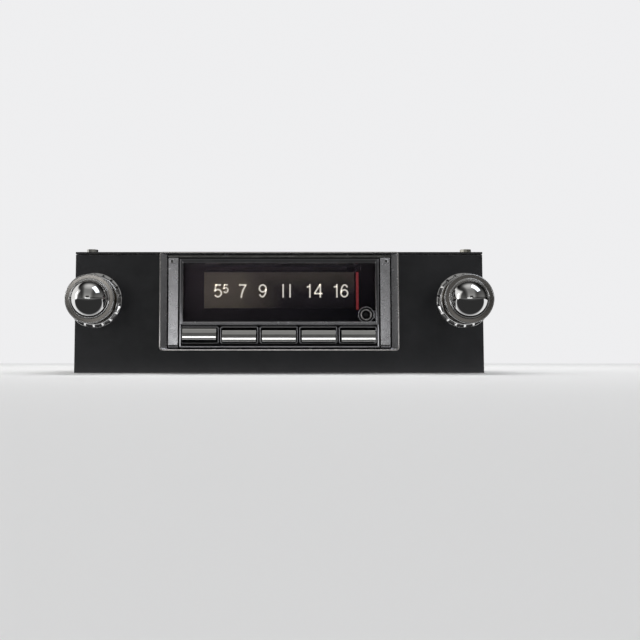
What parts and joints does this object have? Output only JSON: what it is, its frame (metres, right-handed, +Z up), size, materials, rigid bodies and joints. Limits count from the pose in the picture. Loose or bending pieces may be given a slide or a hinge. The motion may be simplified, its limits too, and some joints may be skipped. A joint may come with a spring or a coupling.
{
  "type": "car radio",
  "caption": "Dash-mounted push-button car radio: framed nosepiece with slide-rule dial and preset buttons, a domed knob over a notched ring at each side, and a steel chassis.",
  "frame": {"origin": "middle of the bounding box's underside, on the plane of the chassis floor", "axes": "+X to the right of someone facing the dial, +Y into the dash, +Z up"},
  "size_m": [0.236, 0.1806, 0.0723],
  "materials": {
    "satin_chrome": "satin-plated die casting",
    "chrome": "polished plating",
    "smoked_window": "smoked acrylic, glossy",
    "black_plastic": "moulded, fine grain",
    "dial_film": "printed film",
    "red_paint": "painted needle",
    "zinc_steel": "zinc plated",
    "brass": "machined",
    "case_paint": "satin enamel on steel",
    "black_alloy": "black anodised",
    "nylon": "natural nylon",
    "cord_braid": "waxed braid",
    "bakelite": "moulded phenolic",
    "board": "paper-phenolic board with parts",
    "bulb_glass": "clear bulb"
  },
  "bodies": {
    "chassis": {"bezel_frame": "satin_chrome", "indicator_ring": "satin_chrome", "nosepiece": "chrome", "dial_window": "smoked_window", "indicator_lens": "smoked_window", "dial_plate": "black_plastic", "dial_panel": "dial_film", "guide_rod": "zinc_steel", "left_bushing": "zinc_steel", "right_bushing": "zinc_steel", "left_nut": "zinc_steel", "right_nut": "zinc_steel", "slide_guide": "zinc_steel", "button_spring_1": "zinc_steel", "button_spring_2": "zinc_steel", "button_spring_3": "zinc_steel", "button_spring_4": "zinc_steel", "button_spring_5": "zinc_steel", "cover_screw_1": "zinc_steel", "cover_screw_2": "zinc_steel", "cover_screw_3": "zinc_steel", "cover_screw_4": "zinc_steel", "output_transistor": "zinc_steel", "antenna_socket": "zinc_steel", "rear_stud": "zinc_steel", "dial_cord": "cord_braid", "harness_socket": "nylon", "lamp_socket": "brass", "volume_control": "bakelite", "fader_control": "bakelite", "coil_block": "bakelite", "dial_lamp": "bulb_glass", "chassis_case": "case_paint", "top_cover": "case_paint", "circuit_board": "board", "heat_sink": "black_alloy"},
    "volume": {"volume_knob": "chrome", "volume_shaft": "zinc_steel"},
    "tone": {"tone_ring": "chrome", "tone_shaft": "brass"},
    "tuning": {"tuning_knob": "chrome", "tuning_shaft": "zinc_steel"},
    "fader": {"fader_ring": "chrome", "fader_shaft": "brass"},
    "pointer": {"pointer_slider": "black_plastic", "pointer_needle": "red_paint"},
    "pulley_left": {"cord_pulley_left": "nylon"},
    "pulley_right": {"cord_pulley_right": "nylon"},
    "gear": {"drive_gear": "brass"},
    "cores": {"core_rack": "zinc_steel"},
    "preset_1": {"preset_button_1": "chrome", "button_slide_1": "zinc_steel"},
    "preset_2": {"preset_button_2": "chrome", "button_slide_2": "zinc_steel"},
    "preset_3": {"preset_button_3": "chrome", "button_slide_3": "zinc_steel"},
    "preset_4": {"preset_button_4": "chrome", "button_slide_4": "zinc_steel"},
    "preset_5": {"preset_button_5": "chrome", "button_slide_5": "zinc_steel"}
  },
  "joints": [
    {"name": "volume_turn", "type": "hinge", "parent": "chassis", "child": "volume", "pos_m": [-0.101, -0.0417, 0.04], "axis": [0, 1, 0], "range_deg": [0, 300]},
    {"name": "tone_turn", "type": "hinge", "parent": "chassis", "child": "tone", "pos_m": [-0.101, -0.0417, 0.04], "axis": [0, 1, 0], "range_deg": [-140, 140]},
    {"name": "tuning_turn", "type": "hinge", "parent": "chassis", "child": "tuning", "pos_m": [0.101, -0.0417, 0.04], "axis": [0, 1, 0], "range_deg": [-1188, 0]},
    {"name": "fader_turn", "type": "hinge", "parent": "chassis", "child": "fader", "pos_m": [0.101, -0.0417, 0.04], "axis": [0, 1, 0], "range_deg": [-135, 135]},
    {"name": "pointer_slide", "type": "slide", "parent": "chassis", "child": "pointer", "axis": [1, 0, 0], "range_m": [-0.08294, 0]},
    {"name": "pulley_left_turn", "type": "hinge", "parent": "chassis", "child": "pulley_left", "pos_m": [-0.058, -0.0317, 0.053], "axis": [0, 1, 0], "range_deg": [-1188, 0]},
    {"name": "pulley_right_turn", "type": "hinge", "parent": "chassis", "child": "pulley_right", "pos_m": [0.062, -0.0317, 0.053], "axis": [0, 1, 0], "range_deg": [-1188, 0]},
    {"name": "gear_turn", "type": "hinge", "parent": "chassis", "child": "gear", "pos_m": [0.07935, -0.0217, 0.0275], "axis": [0, 1, 0], "range_deg": [0, 297]},
    {"name": "cores_slide", "type": "slide", "parent": "chassis", "child": "cores", "axis": [1, 0, 0], "range_m": [-0.02073, 0]},
    {"name": "preset_1_push", "type": "slide", "parent": "chassis", "child": "preset_1", "axis": [0, 1, 0], "range_m": [0, 0.006], "stiffness_N_per_m": 400, "deforming": ["button_spring_1"]},
    {"name": "preset_2_push", "type": "slide", "parent": "chassis", "child": "preset_2", "axis": [0, 1, 0], "range_m": [0, 0.006], "stiffness_N_per_m": 400, "deforming": ["button_spring_2"]},
    {"name": "preset_3_push", "type": "slide", "parent": "chassis", "child": "preset_3", "axis": [0, 1, 0], "range_m": [0, 0.006], "stiffness_N_per_m": 400, "deforming": ["button_spring_3"]},
    {"name": "preset_4_push", "type": "slide", "parent": "chassis", "child": "preset_4", "axis": [0, 1, 0], "range_m": [0, 0.006], "stiffness_N_per_m": 400, "deforming": ["button_spring_4"]},
    {"name": "preset_5_push", "type": "slide", "parent": "chassis", "child": "preset_5", "axis": [0, 1, 0], "range_m": [0, 0.006], "stiffness_N_per_m": 400, "deforming": ["button_spring_5"]}
  ],
  "couplings": [
    {"joint": "pointer_slide", "follows": "tuning_turn", "m_per_rad": 0.004},
    {"joint": "pulley_left_turn", "follows": "tuning_turn", "ratio": 1},
    {"joint": "pulley_right_turn", "follows": "tuning_turn", "ratio": 1},
    {"joint": "gear_turn", "follows": "tuning_turn", "ratio": -0.25},
    {"joint": "cores_slide", "follows": "tuning_turn", "m_per_rad": 0.001}
  ]
}
